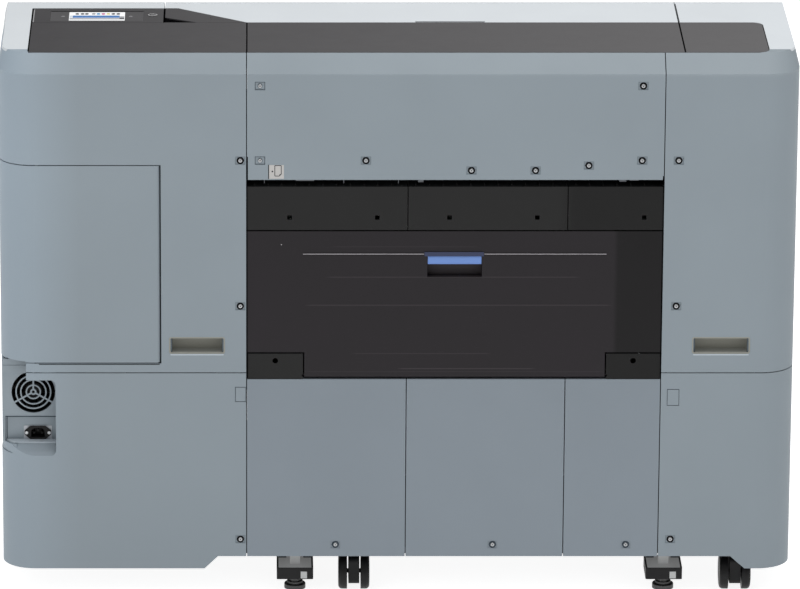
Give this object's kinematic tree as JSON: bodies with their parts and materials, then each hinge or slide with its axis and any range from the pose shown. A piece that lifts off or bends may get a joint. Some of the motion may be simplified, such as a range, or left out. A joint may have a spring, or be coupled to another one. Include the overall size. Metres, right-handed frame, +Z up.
{
  "type": "wide format printer cutter",
  "caption": "Floor-standing wide-format roll printer with built-in cutter, rear side with smoked window, power corner, top control panel, roll drawers, casters and levelling feet.",
  "frame": {"origin": "on the floor, under the middle of the cabinet", "axes": "+Z up, -Y out of the service (rear) face, +Y out of the operator's front, +X to the right when facing the rear"},
  "size_m": [1.401, 0.6682, 0.9918],
  "materials": {
    "steel": "matt paint",
    "panel_grey": "fine satin grain",
    "light_grey": "fine satin grain",
    "lower_grey": "satin powder coat",
    "black_plate": "satin",
    "dark_gloss": "gloss",
    "recess_grey": "matt",
    "black_plastic": "matt",
    "screw_steel": "plain",
    "bright_steel": "ground",
    "rubber": "matt",
    "caster_tread": "satin",
    "foot_steel": "satin",
    "screen_glass": "gloss",
    "smoke": "smoked gloss",
    "handle_blue": "satin",
    "paper": "matt"
  },
  "bodies": {
    "cabinet": {"frame": "steel", "left_upper_cover": "panel_grey", "left_lower_cover": "panel_grey", "right_upper_cover": "panel_grey", "right_lower_cover": "panel_grey", "left_front_cover": "light_grey", "right_front_cover": "light_grey", "rear_upper_panel": "panel_grey", "lower_panels": "lower_grey", "guide_plates": "black_plate", "corner_brackets": "black_plate", "strip_left": "dark_gloss", "strip_middle": "dark_gloss", "strip_right": "dark_gloss", "grip_cups": "recess_grey", "corner_plate": "recess_grey", "fan_housing": "black_plastic", "power_inlet": "black_plastic", "supply_unit": "black_plastic", "cover_screws": "screw_steel", "foot_blocks": "black_plastic", "supply_bays": "recess_grey", "supply_tanks": "black_plastic", "carriage_rail": "bright_steel", "drive_belt": "rubber", "feed_motor": "bright_steel", "print_bed": "black_plate"},
    "lid": {"top_cover": "light_grey"},
    "panel": {"control_panel": "dark_gloss", "screen": "screen_glass"},
    "button": {"power_button": "dark_gloss"},
    "door": {"access_door": "panel_grey"},
    "window": {"rear_window": "smoke"},
    "latch": {"window_latch": "handle_blue"},
    "supply_flap_left": {"supply_door_left": "dark_gloss"},
    "supply_flap_right": {"supply_door_right": "dark_gloss"},
    "upper_drawer": {"drawer_upper": "light_grey"},
    "lower_drawer": {"drawer_lower": "light_grey"},
    "upper_roll": {"roll_upper": "paper"},
    "lower_roll": {"roll_lower": "paper"},
    "print_carriage": {"carriage": "black_plastic"},
    "pulley_drive": {"drive_pulley": "bright_steel"},
    "pulley_idler": {"idler_pulley": "bright_steel"},
    "feeder": {"feed_roller": "bright_steel"},
    "pinion": {"motor_pinion": "bright_steel"},
    "nip": {"nip_rollers": "rubber"},
    "cutting_head": {"cutter": "black_plastic"},
    "impeller": {"fan_impeller": "black_plastic"},
    "caster_rear_left": {"caster_rear_left": "black_plastic"},
    "wheels_rear_left": {"wheels_rear_left": "caster_tread"},
    "caster_rear_right": {"caster_rear_right": "black_plastic"},
    "wheels_rear_right": {"wheels_rear_right": "caster_tread"},
    "caster_front_left": {"caster_front_left": "black_plastic"},
    "wheels_front_left": {"wheels_front_left": "caster_tread"},
    "caster_front_right": {"caster_front_right": "black_plastic"},
    "wheels_front_right": {"wheels_front_right": "caster_tread"},
    "foot_rear_left": {"foot_rear_left": "foot_steel"},
    "foot_rear_right": {"foot_rear_right": "foot_steel"},
    "foot_front_left": {"foot_front_left": "foot_steel"},
    "foot_front_right": {"foot_front_right": "foot_steel"}
  },
  "joints": [
    {"name": "lid_hinge", "type": "hinge", "parent": "cabinet", "child": "lid", "pos_m": [0, -0.0645, 0.984], "axis": [1, 0, 0], "range_deg": [0, 65]},
    {"name": "panel_tilt", "type": "hinge", "parent": "cabinet", "child": "panel", "pos_m": [0, -0.0045, 0.985], "axis": [-1, 0, 0], "range_deg": [0, 25]},
    {"name": "button_press", "type": "slide", "parent": "panel", "child": "button", "axis": [0, 0, -1], "range_m": [0, 0.0012], "stiffness_N_per_m": 600},
    {"name": "door_hinge", "type": "hinge", "parent": "cabinet", "child": "door", "pos_m": [-0.4248, -0.3265, 0.615], "axis": [0, 0, 1], "range_deg": [0, 90]},
    {"name": "window_hinge", "type": "hinge", "parent": "cabinet", "child": "window", "pos_m": [0, -0.3265, 0.411], "axis": [1, 0, 0], "range_deg": [0, 85]},
    {"name": "latch_turn", "type": "hinge", "parent": "window", "child": "latch", "pos_m": [0.099, -0.3235, 0.636], "axis": [-1, 0, 0], "range_deg": [0, 12], "stiffness_Nm_per_rad": 0.05},
    {"name": "supply_flap_left_hinge", "type": "hinge", "parent": "cabinet", "child": "supply_flap_left", "pos_m": [-0.485, 0.3245, 0.478], "axis": [-1, 0, 0], "range_deg": [0, 80]},
    {"name": "supply_flap_right_hinge", "type": "hinge", "parent": "cabinet", "child": "supply_flap_right", "pos_m": [0.5725, 0.3245, 0.478], "axis": [-1, 0, 0], "range_deg": [0, 80]},
    {"name": "upper_drawer_slide", "type": "slide", "parent": "cabinet", "child": "upper_drawer", "axis": [0, 1, 0], "range_m": [0, 0.28]},
    {"name": "lower_drawer_slide", "type": "slide", "parent": "cabinet", "child": "lower_drawer", "axis": [0, 1, 0], "range_m": [0, 0.28]},
    {"name": "upper_roll_spin", "type": "hinge", "parent": "upper_drawer", "child": "upper_roll", "pos_m": [0.099, 0.2285, 0.5624], "axis": [1, 0, 0], "continuous": true},
    {"name": "lower_roll_spin", "type": "hinge", "parent": "lower_drawer", "child": "lower_roll", "pos_m": [0.099, 0.2285, 0.2406], "axis": [1, 0, 0], "continuous": true},
    {"name": "carriage_slide", "type": "slide", "parent": "cabinet", "child": "print_carriage", "axis": [1, 0, 0], "range_m": [-0.06, 0.88]},
    {"name": "drive_pulley_spin", "type": "hinge", "parent": "cabinet", "child": "pulley_drive", "pos_m": [-0.61, -0.2155, 0.846], "axis": [0, 0, 1], "continuous": true},
    {"name": "idler_pulley_spin", "type": "hinge", "parent": "cabinet", "child": "pulley_idler", "pos_m": [0.6, -0.2155, 0.846], "axis": [0, 0, 1], "continuous": true},
    {"name": "feed_spin", "type": "hinge", "parent": "cabinet", "child": "feeder", "pos_m": [0.099, -0.1555, 0.742], "axis": [1, 0, 0], "continuous": true},
    {"name": "pinion_spin", "type": "hinge", "parent": "cabinet", "child": "pinion", "pos_m": [0.488, -0.1555, 0.6964], "axis": [1, 0, 0], "continuous": true},
    {"name": "nip_spin", "type": "hinge", "parent": "cabinet", "child": "nip", "pos_m": [0.099, -0.1555, 0.7613], "axis": [1, 0, 0], "continuous": true},
    {"name": "cutter_slide", "type": "slide", "parent": "cabinet", "child": "cutting_head", "axis": [1, 0, 0], "range_m": [-0.61, 0.06]},
    {"name": "fan_spin", "type": "hinge", "parent": "cabinet", "child": "impeller", "pos_m": [-0.6433, -0.2875, 0.371], "axis": [0, 1, 0], "continuous": true},
    {"name": "swivel_rear_left", "type": "hinge", "parent": "cabinet", "child": "caster_rear_left", "pos_m": [-0.075, -0.2755, 0.062], "axis": [0, 0, 1], "continuous": true},
    {"name": "rolling_rear_left", "type": "hinge", "parent": "caster_rear_left", "child": "wheels_rear_left", "pos_m": [-0.075, -0.2915, 0.0325], "axis": [1, 0, 0], "continuous": true},
    {"name": "swivel_rear_right", "type": "hinge", "parent": "cabinet", "child": "caster_rear_right", "pos_m": [0.604, -0.2755, 0.062], "axis": [0, 0, 1], "continuous": true},
    {"name": "rolling_rear_right", "type": "hinge", "parent": "caster_rear_right", "child": "wheels_rear_right", "pos_m": [0.604, -0.2915, 0.0325], "axis": [1, 0, 0], "continuous": true},
    {"name": "swivel_front_left", "type": "hinge", "parent": "cabinet", "child": "caster_front_left", "pos_m": [-0.42, 0.2755, 0.062], "axis": [0, 0, 1], "continuous": true},
    {"name": "rolling_front_left", "type": "hinge", "parent": "caster_front_left", "child": "wheels_front_left", "pos_m": [-0.42, 0.2915, 0.0325], "axis": [1, 0, 0], "continuous": true},
    {"name": "swivel_front_right", "type": "hinge", "parent": "cabinet", "child": "caster_front_right", "pos_m": [0.604, 0.2755, 0.062], "axis": [0, 0, 1], "continuous": true},
    {"name": "rolling_front_right", "type": "hinge", "parent": "caster_front_right", "child": "wheels_front_right", "pos_m": [0.604, 0.2915, 0.0325], "axis": [1, 0, 0], "continuous": true},
    {"name": "foot_rear_left_lift", "type": "slide", "parent": "cabinet", "child": "foot_rear_left", "axis": [0, 0, 1], "range_m": [-0.012, 0.006]},
    {"name": "foot_rear_right_lift", "type": "slide", "parent": "cabinet", "child": "foot_rear_right", "axis": [0, 0, 1], "range_m": [-0.012, 0.006]},
    {"name": "foot_front_left_lift", "type": "slide", "parent": "cabinet", "child": "foot_front_left", "axis": [0, 0, 1], "range_m": [-0.012, 0.006]},
    {"name": "foot_front_right_lift", "type": "slide", "parent": "cabinet", "child": "foot_front_right", "axis": [0, 0, 1], "range_m": [-0.012, 0.006]}
  ],
  "couplings": [
    {"joint": "drive_pulley_spin", "follows": "carriage_slide", "rad_per_m": -99.01},
    {"joint": "idler_pulley_spin", "follows": "carriage_slide", "rad_per_m": -99.01},
    {"joint": "pinion_spin", "follows": "feed_spin", "ratio": -2}
  ]
}
